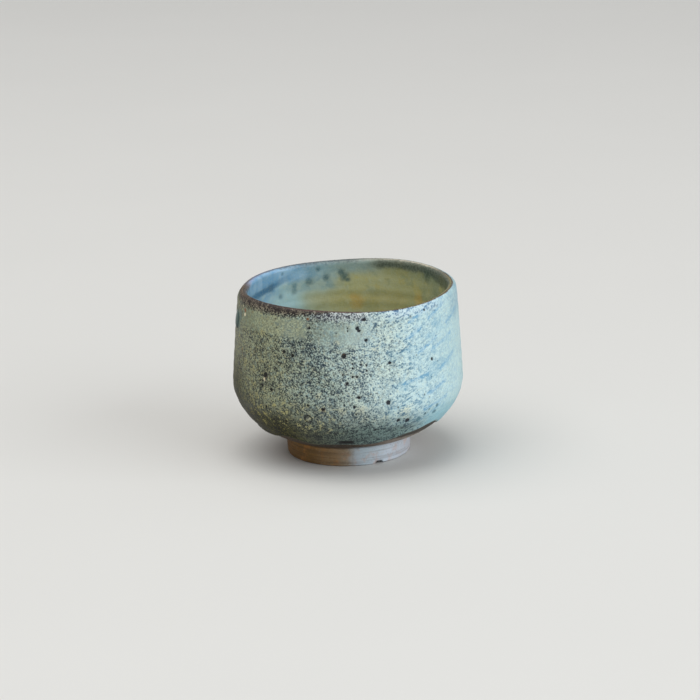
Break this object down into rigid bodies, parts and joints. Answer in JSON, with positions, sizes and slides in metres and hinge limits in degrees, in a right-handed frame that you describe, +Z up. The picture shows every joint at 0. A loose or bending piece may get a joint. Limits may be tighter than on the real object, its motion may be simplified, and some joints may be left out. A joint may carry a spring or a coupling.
{
  "type": "sake cup",
  "caption": "Small thrown stoneware sake cup, wide and low, on a turned foot ring, with a mottled blue-green glaze inside and out and a bare clay foot.",
  "frame": {"origin": "on the table, on the cup's axis, at the middle of the foot ring's resting face", "axes": "+Z up along the cup's axis; the side that the picture shows faces -Y, and +X is to its right"},
  "size_m": [0.06, 0.06, 0.0443],
  "materials": {
    "bare_clay": "unglazed fired stoneware, dark at the lip",
    "foot_clay": "bare trimmed stoneware, ochre brown to lavender grey",
    "outer_glaze": "satin glaze, speckled, olive to pale turquoise",
    "inner_glaze": "satin glaze, pale blue to olive gold",
    "run_glaze": "thick glossy dark green glaze"
  },
  "bodies": {
    "root": {"clay_bowl": "bare_clay", "foot_ring": "foot_clay", "outer_glaze": "outer_glaze", "inner_glaze": "inner_glaze", "glaze_run": "run_glaze"}
  },
  "joints": []
}
